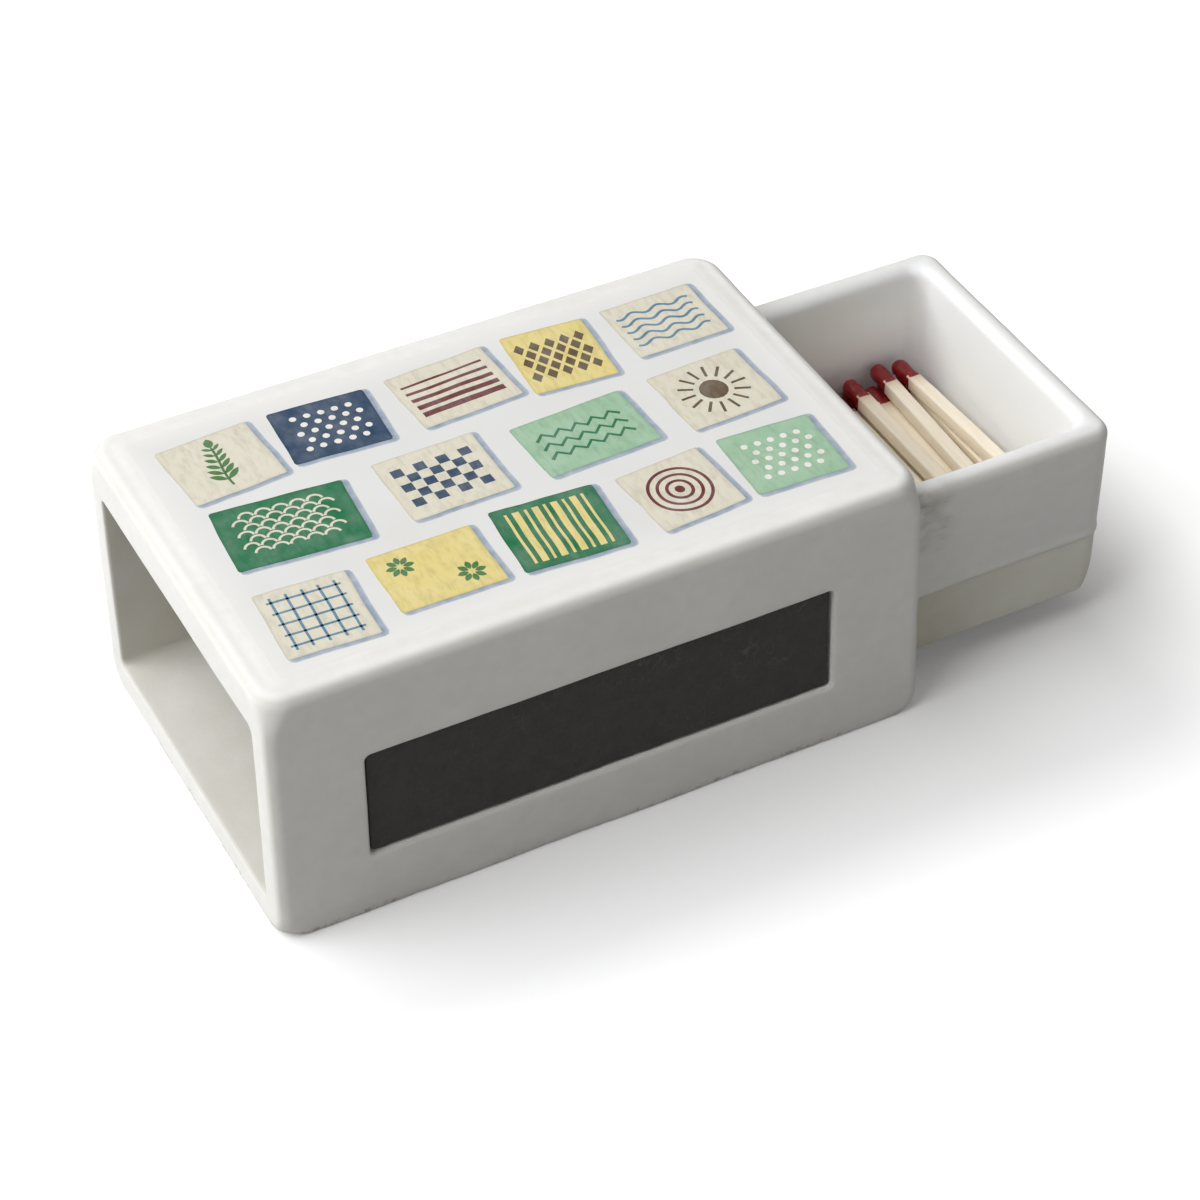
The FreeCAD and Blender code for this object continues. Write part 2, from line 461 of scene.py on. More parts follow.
def make_uneven(piece, depth_at):
    """Sinks each point into its piece by a depth that depends on its place, and marks the rounded edges."""
    mesh = piece.data
    places = vectors_of(mesh.vertices, "co")
    normals = vectors_of(mesh.vertex_normals, "vector")
    depths = np.array([depth_at(place) for place in places])
    flatness = np.abs(normals).max(axis=1)
    edges = np.clip((1 - flatness) / (1 - math.sqrt(0.5)), 0, 1)
    mesh.attributes["mark"].data.foreach_set("value", edges)
    mesh.vertices.foreach_set("co", (places - normals * depths[:, None]).ravel())
    mesh.update()


def lumps(place):
    """The unevenness that all the ceramic has: broad hollows with finer ones in them."""
    return BROAD_DEPTH * cloud(place, BROAD_SIZE) + FINE_DEPTH * cloud(place, FINE_SIZE)


class Graph:
    """The nodes of a material or of the world."""

    def __init__(self, tree):
        self.tree = tree

    def give(self, node, sockets):
        """Sets sockets of a node, by name or by number, or feeds them from other nodes."""
        for socket, value in sockets.items():
            if isinstance(value, bpy.types.NodeSocket):
                self.tree.links.new(value, node.inputs[socket])
            else:
                node.inputs[socket].default_value = value

    def add(self, kind, sockets, **settings):
        """The outputs of a new node, which has some settings and some of its sockets set or fed."""
        node = self.tree.nodes.new(kind)
        for name, value in settings.items():
            setattr(node, name, value)
        self.give(node, sockets)
        return node.outputs

    def reckon(self, operation, first, *others):
        """Values taken together by an operation, one after the other."""
        for other in others:
            first = self.add("ShaderNodeMath", {0: first, 1: other}, operation=operation)["Value"]
        return first

    def rays_that_see(self):
        """One for the rays that show the surroundings: straight, mirrored or through something clear."""
        path = self.add("ShaderNodeLightPath", {})
        kinds = ("Is Camera Ray", "Is Glossy Ray", "Is Transmission Ray")
        return self.reckon("MAXIMUM", *[path[kind] for kind in kinds])


class Finish(Graph):
    """A material: one main shader, and nodes that feed it from the piece's own coordinates.

    Its colour starts as a ground of two tones and is then tinted step by step.
    """

    def __init__(self, name, **values):
        self.material = bpy.data.materials.new(name)
        self.material.use_nodes = True
        super().__init__(self.material.node_tree)
        self.place = self.add("ShaderNodeTexCoord", {})["Object"]
        self.feed(values)

    def feed(self, values):
        """Sets or feeds sockets of the main shader; an underscore stands for the space in a socket's name."""
        named = {name.replace("_", " "): value for name, value in values.items()}
        self.give(self.tree.nodes["Principled BSDF"], named)

    def carried(self, name):
        """A value that the mesh carries at each point."""
        return self.add("ShaderNodeAttribute", {}, attribute_name=name)["Fac"]

    def along(self, axis):
        """The piece's own coordinate along an axis, by number."""
        return self.add("ShaderNodeSeparateXYZ", {"Vector": self.place})[axis]

    def ease(self, source, low, high):
        """A share that goes from zero to one while a source goes from low to high."""
        sockets = {"Value": source, "From Min": low, "From Max": high}
        return self.add("ShaderNodeMapRange", sockets)["Result"]

    def spread(self, source, low, high):
        """A value from low to high while a source goes from zero to one."""
        sockets = {"Value": source, "To Min": low, "To Max": high}
        return self.add("ShaderNodeMapRange", sockets)["Result"]

    def noise(self, size, detail=2.0, stretch=None):
        """Cloudy noise with features of a size, drawn out along an axis by a stretch under one."""
        place = self.place
        if stretch:
            place = self.add("ShaderNodeMapping", {"Vector": place, "Scale": stretch})["Vector"]
        return self.add("ShaderNodeTexNoise", {"Vector": place, "Scale": 1 / size, "Detail": detail})["Fac"]

    def patches(self, low, high, **clouds):
        """Noise as a share that goes from zero to one between two of its levels."""
        return self.ease(self.noise(**clouds), low, high)

    def specks(self, spacing, reach, kept_share):
        """Round specks about a spacing apart, of a reach in spacings; only a share of them is kept."""
        softness = 0.02
        cells = self.add("ShaderNodeTexVoronoi", {"Vector": self.place, "Scale": 1 / spacing})
        near = self.ease(cells["Distance"], reach, reach / 2)
        return self.times(near, self.ease(cells["Color"], 1 - kept_share, 1 + softness - kept_share))

    def times(self, *values):
        """The product of some values."""
        return self.reckon("MULTIPLY", *values)

    def away_from(self, low, high):
        """How far a place lies outside a box, along the box's own directions."""
        centre = (low + high) / 2
        place = self.place
        for operation, other in (("SUBTRACT", centre), ("ABSOLUTE", centre), ("SUBTRACT", high - centre),
                                 ("MAXIMUM", Vector()), ("LENGTH", centre)):
            outputs = self.add("ShaderNodeVectorMath", {0: place, 1: other}, operation=operation)
            place = outputs["Value" if operation == "LENGTH" else "Vector"]
        return place

    def blend(self, share, first, second):
        """A colour that goes from the first to the second by a share."""
        return self.add("ShaderNodeMix", {0: share, 6: first, 7: second}, data_type="RGBA")[2]

    def ground(self, share, first, second):
        """Starts the colour with two tones and the share of the second."""
        self.colour = self.blend(share, first, second)

    def tint(self, tone, *masks, strength=1.0):
        """Draws the colour towards a tone, up to a strength, where all the masks are high."""
        self.colour = self.blend(self.times(*masks, strength), self.colour, tone)

    def relief(self, layers):
        """A relief of layers on each other, each from a height between zero and one, and a depth."""
        under = {}
        for height, depth in layers:
            sockets = {"Height": height, "Distance": depth, **under}
            under = {"Normal": self.add("ShaderNodeBump", sockets)["Normal"]}
        return under

    def done(self, *layers, **values):
        """The material, with its colour, a relief of layers, and other values for the main shader."""
        self.feed({"Base Color": self.colour, **self.relief(layers), **values})
        return self.material


def glaze(name, clear, cloudy):
    """A finish in the tones of white glaze: faint clouds, a warmer, darker tone at rounded edges, and
    pinholes; the edge tone is partly thinner glaze and partly painted shade that tones down the lamp's
    highlights.
    """
    finish = Finish(name, Specular_IOR_Level=0.22)
    finish.ground(finish.patches(size=13 * MM, detail=3.0, low=0.35, high=0.75), clear, cloudy)
    # Painted shade at rounded edges: a warmer, darker tone, partly thinner glaze and partly to tone down the
    # lamp's highlights there.
    thin_glaze_and_edge_shade = finish.spread(finish.noise(size=3.1 * MM, detail=4.0), low=0.6, high=1.0)
    finish.tint(linear(214, 211, 203), finish.carried("mark"), thin_glaze_and_edge_shade)
    mottle = finish.patches(size=2.4 * MM, detail=5.0, low=0.4, high=0.75)
    finish.tint(linear(232, 230, 223), mottle, strength=0.4)
    pinholes = finish.specks(spacing=5.5 * MM, reach=0.05, kept_share=0.12)
    finish.tint(linear(186, 178, 162), pinholes, strength=0.4)
    return finish


def glazed(finish):
    """The satin surface of white glaze: ripples, and patches that shine more than others."""
    ripples = finish.noise(size=3.4 * MM)
    grains = finish.noise(size=0.9 * MM, detail=3.0)
    dullness = finish.spread(finish.noise(size=7 * MM, detail=3.0), low=0.38, high=0.58)
    return finish.done((ripples, 0.05 * MM), (grains, 0.012 * MM), Roughness=dullness)


def sleeve_glaze():
    """White satin glaze that has flaked here and there along the foot of the walls."""
    finish = glaze("sleeve_glaze", linear(244, 243, 240), linear(239, 238, 233))
    foot = finish.ease(finish.along(2), low=1.3 * MM, high=0.2 * MM)
    flakes = finish.patches(size=1.1 * MM, detail=4.0, low=0.48, high=0.58)
    stretches = finish.patches(size=15 * MM, low=0.46, high=0.58)
    finish.tint(linear(132, 124, 108), foot, flakes, stretches, strength=0.75)
    return glazed(finish)


def tray_glaze():
    """White satin glaze, whiter inside where it has pooled and as painted light that lifts the hollow's
    shade, with a darker grey patch and fine strokes on the front wall beside the sleeve.
    """
    finish = glaze("tray_glaze", linear(242, 242, 240), linear(237, 238, 237))
    # Painted light: whiter inside the hollow, partly pooled glaze and partly to lift the hollow's shade.
    finish.tint(linear(250, 251, 251), finish.carried("inside"))
    # A darker grey patch on the front wall just beside the sleeve's end, with fine darker strokes in it.
    grey_patch = finish.times(finish.ease(finish.along(0), low=66 * MM, high=58 * MM),
                       finish.ease(finish.along(1), low=-25 * MM, high=-27 * MM),
                       finish.ease(finish.along(2), low=25 * MM, high=32 * MM),
                       finish.patches(size=5.0 * MM, detail=5.0, low=0.36, high=0.62))
    finish.tint(linear(174, 172, 158), grey_patch, strength=0.8)
    fine_strokes = finish.patches(size=0.9 * MM, detail=4.0, low=0.55, high=0.66, stretch=(0.3, 1, 1))
    finish.tint(linear(150, 148, 138), grey_patch, fine_strokes, strength=0.6)
    return glazed(finish)


def matt_ceramic():
    """The thin, matt wash inside the sleeve: warmer, rough, with grains and a few brown specks."""
    finish = Finish("matt_ceramic", Roughness=0.7, Specular_IOR_Level=0.3)
    clouds = finish.patches(size=9 * MM, detail=4.0, low=0.3, high=0.75)
    finish.ground(clouds, linear(212, 210, 204), linear(204, 201, 192))
    specks = finish.specks(spacing=2.9 * MM, reach=0.07, kept_share=0.12)
    finish.tint(linear(160, 148, 128), specks, strength=0.4)
    lumpy = finish.noise(size=1.6 * MM, detail=3.0)
    grains = finish.noise(size=0.45 * MM)
    return finish.done((lumpy, 0.045 * MM), (grains, 0.03 * MM))


def bare_ceramic(name, darkened_to):
    """Unglazed biscuit: warm, dry and gritty, darker towards lower X and fading out up to a place along X."""
    finish = Finish(name, Roughness=0.82, Specular_IOR_Level=0.22)
    clouds = finish.patches(size=8 * MM, detail=4.0, low=0.3, high=0.75)
    finish.ground(clouds, linear(247, 246, 237), linear(239, 237, 225))
    # Darker towards lower X, fading out up to a place; on the tray's bare band this is painted shade next to
    # the sleeve.
    fade = finish.ease(finish.along(0), low=darkened_to, high=darkened_to - 24 * MM)
    darkening = finish.spread(finish.noise(size=6 * MM, detail=3.0), low=0.3, high=0.8)
    finish.tint(linear(194, 190, 170), fade, darkening)
    specks = finish.specks(spacing=2.2 * MM, reach=0.08, kept_share=0.3)
    finish.tint(linear(160, 148, 126), specks, strength=0.5)
    lumpy = finish.noise(size=1.1 * MM, detail=4.0)
    grit = finish.noise(size=0.35 * MM)
    return finish.done((lumpy, 0.05 * MM), (grit, 0.025 * MM))


def striking_compound():
    """Charcoal striking paste, dabbed on: dry and mottled, with grit and a few pale scuffs to the right."""
    finish = Finish("striking_compound", Specular_IOR_Level=0.15)
    mottle = finish.noise(size=2.3 * MM, detail=6.0)
    finish.ground(finish.ease(mottle, low=0.32, high=0.7), linear(63, 63, 61), linear(77, 76, 73))
    grains = finish.specks(spacing=0.8 * MM, reach=0.2, kept_share=0.25)
    finish.tint(linear(106, 103, 97), grains, strength=0.4)
    streaks = finish.noise(size=2.8 * MM, detail=3.0, stretch=(1, 1, 0.55))
    to_right = finish.ease(finish.along(0), low=-30 * MM, high=30 * MM)
    scuffs = finish.times(finish.ease(streaks, low=0.475, high=0.5),
                          finish.ease(streaks, low=0.525, high=0.5),
                          finish.patches(size=9 * MM, low=0.5, high=0.72),
                          finish.spread(to_right, low=0.25, high=1.0))
    finish.tint(linear(122, 119, 112), scuffs, strength=0.55)
    grit = finish.noise(size=0.4 * MM, detail=3.0)
    dryness = finish.spread(mottle, low=0.6, high=0.9)
    return finish.done((mottle, 0.2 * MM), (grit, 0.08 * MM), (scuffs, 0.1 * MM), Roughness=dryness)


def match_wood():
    """Pale aspen: long grain, a tone of its own for each stick, and a stain of wax next to the head."""
    finish = Finish("match_wood", Roughness=0.62, Specular_IOR_Level=0.3)
    grain = finish.noise(size=0.42 * MM, detail=5.0, stretch=(1, 0.035, 1))
    finish.ground(finish.ease(grain, low=0.3, high=0.72), linear(253, 247, 233), linear(244, 231, 207))
    finish.tint(linear(242, 224, 192), finish.carried("tone"), strength=0.45)
    waxed = finish.ease(finish.carried("along"), low=0.9, high=1.0)
    finish.tint(linear(205, 150, 120), waxed, strength=0.35)
    return finish.done((grain, 0.07 * MM))


def match_head():
    """Dark red striking paste: lumpy, with paler grains and a faint wax sheen."""
    finish = Finish("match_head", Roughness=0.34, Specular_IOR_Level=0.55)
    clouds = finish.patches(size=0.9 * MM, detail=4.0, low=0.3, high=0.75)
    finish.ground(clouds, linear(146, 22, 26), linear(92, 9, 13))
    grains = finish.specks(spacing=0.5 * MM, reach=0.25, kept_share=0.3)
    finish.tint(linear(190, 84, 78), grains, strength=0.5)
    lumpy = finish.noise(size=0.5 * MM, detail=3.0)
    return finish.done((lumpy, 0.08 * MM))


def film_white():
    """The clear film over the white roof: a little smoother than the glaze around it, and greyer, as painted
    shade that tones down the brightly lit roof.
    """
    finish = Finish("film_white", Specular_IOR_Level=0.18)
    clouds = finish.patches(size=16 * MM, detail=3.0, low=0.35, high=0.75)
    # Painted shade: greyer than the glaze to tone down the brightly lit roof, back to the glaze's tone at the
    # film's edge.
    finish.ground(clouds, linear(232, 232, 230), linear(228, 227, 224))
    finish.tint(linear(240, 239, 236), finish.carried("mark"))
    ripples = finish.noise(size=5.0 * MM)
    dullness = finish.spread(finish.noise(size=9 * MM), low=0.36, high=0.5)
    return finish.done((ripples, 0.035 * MM), Roughness=dullness)


def painted(name, colour):
    """A watercolour: pale and deep washes, grains, and pigment gathered at the edge of the tile."""
    finish = Finish(name, Roughness=0.55, Specular_IOR_Level=0.18)
    plain = linear(*colour)
    deep = tuple(DEEP_SHARE * value for value in plain[:3]) + (1.0,)
    pale = tuple(value + PALE_SHARE * (1 - value) for value in plain[:3]) + (1.0,)
    finish.ground(finish.patches(size=4.2 * MM, detail=5.0, low=0.32, high=0.68), plain, pale)
    brushed = finish.patches(size=0.8 * MM, detail=4.0, low=0.45, high=0.75, stretch=(1, 0.35, 1))
    finish.tint(deep, brushed, strength=0.55)
    finish.tint(deep, finish.carried("mark"), strength=0.6)
    return finish.done()


def painted_shadow():
    """A blue-grey wash beside each tile that fades into the white."""
    finish = Finish("painted_shadow", Roughness=0.55, Specular_IOR_Level=0.18)
    patchy = finish.spread(finish.noise(size=1.6 * MM, detail=3.0), low=0.55, high=1.25)
    mask = finish.times(finish.carried("mark"), patchy)
    finish.ground(mask, linear(238, 238, 237), linear(134, 151, 171))
    return finish.done()


def lines_round(places, low, high):
    """The numbers of the grid lines round a stretch, half a cell or more outside it."""
    below = np.where(places < low - CELL / 2)[0][-1]
    above = np.where(places > high + CELL / 2)[0][0]
    return int(below), int(above)


def window_border(numbers, rows, columns):
    """The numbers round a window in a grid, from its first row and column, along that row first."""
    low, high = rows
    first, last = columns
    step = 1 if last > first else -1
    bottom = numbers[low, first:last:step]
    far = numbers[low:high, last]
    top = numbers[high, last:first:-step]
    near = numbers[high:low:-1, first]
    return np.concatenate([bottom, far, top, near])


def lean_end(piece):
    """Leans the right-hand end of the sleeve, or of a piece on it: out at the foot and in at the roof."""
    low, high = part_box("sleeve")
    middle = (low.z + high.z) / 2
    for vertex in piece.data.vertices:
        share = smooth_share(vertex.co.x, 0.0, high.x)
        vertex.co.x += END_LEAN * share * (middle - vertex.co.z) / middle


class SleeveGrid:
    """The grid that the sleeve's outside is made of, and where things lie in it."""

    def __init__(self):
        self.low, self.high = box_of("sleeve")
        low = self.low[:2]
        high = self.high[:2]
        self.cells = cell_counts(low, high, UPRIGHT_RADIUS, CELL, ARC_CELLS)
        profile = self.make_profile()
        self.heights = np.array([height for inset, height in profile])
        radii = [self.corner_radius(height) for height in self.heights]
        self.rings = rings_along(2, low, high, radii, profile, self.cells, ARC_CELLS)
        self.front = self.rings[len(self.rings) // 2, :self.cells[0] + 1, 0]

    def make_profile(self):
        """Insets and heights from the base, round its edge, up the walls and over the roof's edge."""
        base = self.low[2]
        roof = self.high[2]
        profile = [(inset, base + rise) for inset, rise in rounding(BASE_RADIUS, count=4)]
        profile += [(0.0, height) for height in steps_between(base + BASE_RADIUS, roof - ROOF_RADIUS)]
        return profile + [(inset, roof - drop) for inset, drop in reversed(rounding(ROOF_RADIUS, count=9))]

    def corner_radius(self, height):
        """The radius of the upright edges, which are rounder at the roof and at the base."""
        to_roof = smooth_share(height, self.high[2] - ROOF_CORNER_DEPTH, self.high[2])
        above_base = min((height - self.low[2]) / BASE_CORNER_DEPTH, 1.0)
        to_base = 1 - math.sqrt(above_base * (2 - above_base))
        return UPRIGHT_RADIUS + ROOF_CORNER_GROWTH * to_roof + BASE_CORNER_GROWTH * to_base

    def end_columns(self, end):
        """The first and last columns of the flat of an end, in the direction of +Y."""
        wide, deep = self.cells
        if end > 0:
            return wide + ARC_CELLS, wide + deep - ARC_CELLS
        return 2 * wide + 2 * deep - ARC_CELLS, 2 * wide + deep + ARC_CELLS


def add_tunnel(skin, grid, outside):
    """The tunnel from end to end, with its rounded mouths; gives the windows that it needs."""
    tray_low, tray_high = box_of("tray")
    low = np.array([tray_low[1] - SIDE_GAP, tray_low[2] - RUNNING_GAP])
    high = np.array([tray_high[1] + SIDE_GAP, tray_high[2] + TOP_GAP])
    rows = lines_round(grid.heights, low[1] - MOUTH_RADIUS, high[1] + MOUTH_RADIUS)
    columns = [grid.end_columns(end) for end in (-1, 1)]
    cells = abs(columns[1][1] - columns[1][0]), rows[1] - rows[0]
    left = grid.low[0]
    right = grid.high[0]
    lip = rounding(MOUTH_RADIUS, count=5)
    steps = [(-grow, left + depth) for grow, depth in lip]
    steps += [(0.0, x) for x in steps_between(left + MOUTH_RADIUS, right - MOUTH_RADIUS)]
    steps += [(-grow, right - depth) for grow, depth in reversed(lip)]
    inside = skin.add_points(rings_along(0, low, high, TUNNEL_RADIUS, steps, cells, SMALL_ARC_CELLS))
    left_border, right_border = [window_border(outside, rows, span)[None] for span in columns]
    glazed_rings = len(lip) // 2
    skin.add_wall(np.vstack([left_border, inside[:glazed_rings]]), 0)
    skin.add_wall(inside[glazed_rings - 1:1 - glazed_rings], 1)
    skin.add_wall(np.vstack([inside[-glazed_rings:], right_border]), 0)
    return [(rows, sorted(span)) for span in columns]


def add_recess(skin, grid, outside):
    """The striking strip's recess in the front, with a soft lip; gives the window that it needs."""
    strip_low, strip_high = box_of("striker_strip")
    low = strip_low[[0, 2]] - RECESS_CLEARANCE
    high = strip_high[[0, 2]] + RECESS_CLEARANCE
    columns = lines_round(grid.front, low[0] - LIP_RADIUS, high[0] + LIP_RADIUS)
    rows = lines_round(grid.heights, low[1] - LIP_RADIUS, high[1] + LIP_RADIUS)
    cells = columns[1] - columns[0], rows[1] - rows[0]
    front = grid.low[1]
    floor = strip_high[1]
    steps = [(-grow, front + depth) for grow, depth in rounding(LIP_RADIUS, count=5)]
    steps += [(0.0, (front + LIP_RADIUS + floor) / 2), (0.0, floor)]
    numbers = skin.add_points(rings_along(1, low, high, RECESS_CORNER, steps, cells, SMALL_ARC_CELLS))
    skin.add_wall(np.vstack([window_border(outside, rows, columns)[None], numbers]), 0)
    skin.add_fill(numbers[-1], cells, 0)
    return rows, columns


def sleeve_depth(grid):
    """How far each place of the sleeve is sunk: flat under the film, rough along the base's edge."""
    film_low, film_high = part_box("printed_transfer")

    def depth_at(place):
        outside_film = max(film_low.x - place[0], place[0] - film_high.x,
                           film_low.y - place[1], place[1] - film_high.y,
                           (grid.high[2] - place[2]) * FADE_STEEPNESS - FADE_WIDTH)
        kept = smooth_share(outside_film, 0.0, FADE_WIDTH)
        near_base = math.exp(-max(place[2], 0.0) / ROUGH_REACH)
        patch = smooth_share(cloud(place, ROUGH_PATCH_SIZE), *ROUGH_PATCH_SHARES)
        rough = ROUGH_DEPTH * patch * near_base * cloud(place, ROUGH_SIZE) ** 2
        return kept * lumps(place) + rough
    return depth_at


def make_sleeve(finishes):
    """The outer box: walls on a grid, with windows for the tunnel and for the strip's recess."""
    skin = Skin()
    grid = SleeveGrid()
    outside = skin.add_points(grid.rings)
    windows = add_tunnel(skin, grid, outside)
    windows.append(add_recess(skin, grid, outside))
    kept = np.ones((outside.shape[0] - 1, outside.shape[1]), bool)
    for rows, columns in windows:
        kept[rows[0]:rows[1], columns[0]:columns[1]] = False
    skin.add_wall(outside, 0, kept)
    skin.add_fill(outside[-1], grid.cells, 0)
    skin.add_fill(outside[0], grid.cells, 2)
    piece = skin.to_piece("sleeve_body", finishes)
    make_uneven(piece, sleeve_depth(grid))
    lean_end(piece)
    settle(piece, "sleeve", "white_glaze", "sleeve")


def tray_outside_profile(bottom, rim):
    """Insets and heights from the underside round the foot, over the glaze line's bead and up to the rim."""
    line = bottom + GLAZE_LINE_HEIGHT
    groove = line - GROOVE_DEPTH * 2
    profile = [(GLAZE_STEP + inset, bottom + rise) for inset, rise in rounding(FOOT_RADIUS, count=7)]
    profile += [(GLAZE_STEP, height) for height in steps_between(bottom + FOOT_RADIUS, groove)]
    profile.append((GLAZE_STEP, groove))
    profile.append((GLAZE_STEP + GROOVE_DEPTH, line - GROOVE_DEPTH / 2))
    profile.append((GLAZE_STEP / 2, line))
    for share in np.linspace(0, 1, BEAD_STEPS):
        inset = BEAD_DEPTH * (1 - math.cos(math.pi * share)) / 2
        profile.append((inset, line + BEAD_HEIGHT * (BEAD_START_SHARE + (1 - BEAD_START_SHARE) * share)))
    profile += [(BEAD_DEPTH, height) for height in steps_between(line + BEAD_HEIGHT, rim - RIM_RADIUS)]
    rim_share = 1 - BEAD_DEPTH / RIM_RADIUS
    return profile + [(BEAD_DEPTH + rim_share * inset, rim - drop)
                      for inset, drop in reversed(rounding(RIM_RADIUS, count=6))]


def tray_inside_profile(floor, rim):
    """Insets and heights from the rim down the inside wall and round on to the floor."""
    floor_edge = floor + INSIDE_FLOOR_RADIUS
    profile = [(TRAY_WALL - grow, rim - drop) for grow, drop in rounding(RIM_RADIUS, count=6)]
    profile += [(TRAY_WALL, height) for height in steps_between(rim - RIM_RADIUS, floor_edge)]
    return profile + [(TRAY_WALL + inset, floor + rise)
                      for inset, rise in reversed(rounding(INSIDE_FLOOR_RADIUS, count=5))]


def end_foot(point, low, high):
    """How far a point of the tray's outside is drawn in, along X, where the foot of an end is rounded."""
    height = min((point[2] - low[2]) / END_FOOT_HEIGHT, 1.0)
    inwards = END_FOOT_DEPTH * (1 - math.sqrt(1 - (1 - height) ** 2))
    to_right = smooth_share(point[0], high[0] - END_FOOT_REACH, high[0])
    to_left = smooth_share(point[0], low[0] + END_FOOT_REACH, low[0])
    return inwards * (to_right - to_left)


def lightened_inside_share(point, low, high):
    """How far a point of the tray belongs to its inside, which is painted lighter: none on the outer walls,
    all past the rim.
    """
    if point[2] <= low[2] + TRAY_FLOOR / 2:
        return 0.0
    depth = min(point[0] - low[0], high[0] - point[0], point[1] - low[1], high[1] - point[1])
    return smooth_share(depth, INSIDE_START_SHARE * TRAY_WALL, INSIDE_END_SHARE * TRAY_WALL)


def make_tray(finishes):
    """The drawer: a bare foot band, a bead of glaze above it, soft rims and the hollow for the matches."""
    low, high = box_of("tray")
    cells = cell_counts(low[:2], high[:2], TRAY_CORNER, CELL, ARC_CELLS)
    outside = tray_outside_profile(low[2], high[2])
    inside = tray_inside_profile(low[2] + TRAY_FLOOR, high[2])
    radii = [TRAY_CORNER] * len(outside) + [TRAY_WALL + INSIDE_CORNER] * len(inside)
    line = low[2] + GLAZE_LINE_HEIGHT
    rings = rings_along(2, low[:2], high[:2], radii, outside + inside, cells, ARC_CELLS)
    for ring in rings[:len(outside)]:
        for point in ring:
            near_line = 1 - smooth_share(abs(point[2] - line), BEAD_HEIGHT, 3 * BEAD_HEIGHT)
            below = (point[0], point[1], 0)
            sway = cloud(below, BROAD_SIZE) + FINE_SWAY_SHARE * cloud(below, SWAY_SIZE)
            point[0] -= end_foot(point, low, high)
            point[2] += near_line * GLAZE_LINE_SWAY * (sway - (1 + FINE_SWAY_SHARE) / 2)
    skin = Skin()
    numbers = skin.add_points(rings)
    glazed_from = next(row for row, (inset, height) in enumerate(outside) if height >= line)
    skin.add_fill(numbers[0], cells, 1)
    skin.add_wall(numbers[:glazed_from], 1)
    skin.add_wall(numbers[glazed_from - 1:], 0)
    skin.add_fill(numbers[-1], cells, 0)
    piece = skin.to_piece("tray_body", finishes)
    # The share of each point that is painted lighter inside the tray.
    carry(piece, "inside", [lightened_inside_share(point, low, high) for point in skin.points])
    make_uneven(piece, lumps)
    settle(piece, "tray", "white_glaze", "tray")


def strip_depth(place, back):
    """The dabbed relief of the strip's face."""
    if place[1] > back:
        return 0.0
    return DAB_DEPTH * cloud(place, DAB_SIZE) + GRIT_DEPTH * cloud(place, GRIT_SIZE)


def make_strip(finish):
    """The striking strip in its recess, with a soft edge and a dabbed face."""
    low, high = box_of("striker_strip")
    flat = low[[0, 2]], high[[0, 2]]
    cells = cell_counts(*flat, STRIP_CORNER, STRIP_CELL, SMALL_ARC_CELLS)
    steps = [(0.0, high[1]), (0.0, low[1] + STRIP_EDGE * 2)]
    steps += [(inset, low[1] + rise) for inset, rise in reversed(rounding(STRIP_EDGE, count=3))]
    skin = Skin()
    numbers = skin.add_points(rings_along(1, *flat, STRIP_CORNER, steps, cells, SMALL_ARC_CELLS))
    skin.add_closed(numbers, cells)
    piece = skin.to_piece("striking_strip", [finish])
    make_uneven(piece, lambda place: strip_depth(place, low[1] + STRIP_EDGE))
    lean_end(piece)
    settle(piece, "sleeve", "striking_compound", "striker_strip")


def islands(node):
    """The points of each separate solid in a node, from left to right."""
    form = bmesh.new()
    form.from_mesh(nodes[node].data)
    bmesh.ops.remove_doubles(form, verts=form.verts, dist=MM / 1000)
    found = []
    for seed in form.verts:
        if seed.tag:
            continue
        seed.tag = True
        group = [seed]
        for vertex in group:
            for edge in vertex.link_edges:
                other = edge.other_vert(vertex)
                if not other.tag:
                    other.tag = True
                    group.append(other)
        found.append(np.array([vertex.co for vertex in group]))
    form.free()
    return sorted(found, key=lambda points: points[:, 0].mean())


class Match:
    """One match as the solids hold it: the middles of its tail, its neck and its tip, and its half width."""

    def __init__(self, stick, head):
        self.tail = stick[stick[:, 1] < stick[:, 1].min() + STICK_END_DEPTH].mean(axis=0)
        self.neck = stick[stick[:, 1] > stick[:, 1].max() - STICK_END_DEPTH].mean(axis=0)
        self.tip = head[head[:, 1].argmax()]
        self.half = (stick[:, 2].max() - stick[:, 2].min()) / 2
        self.radius = (head[:, 2].max() - head[:, 2].min()) / 2
        self.length = np.linalg.norm(self.neck - self.tail)
        self.axis = (self.neck - self.tail) / self.length
        self.side = np.cross(self.axis, (0, 0, 1))

    def at(self, along, across):
        """A point at a distance from the tail, and at places across the match."""
        return self.tail + along * self.axis + across[0] * self.side + across[1] * np.array([0, 0, 1])

    def chance(self, turn):
        """A number from zero to one that differs from match to match."""
        return cloud(self.tail * CHANCE_SCALE + turn * CHANCE_STEP, MM)


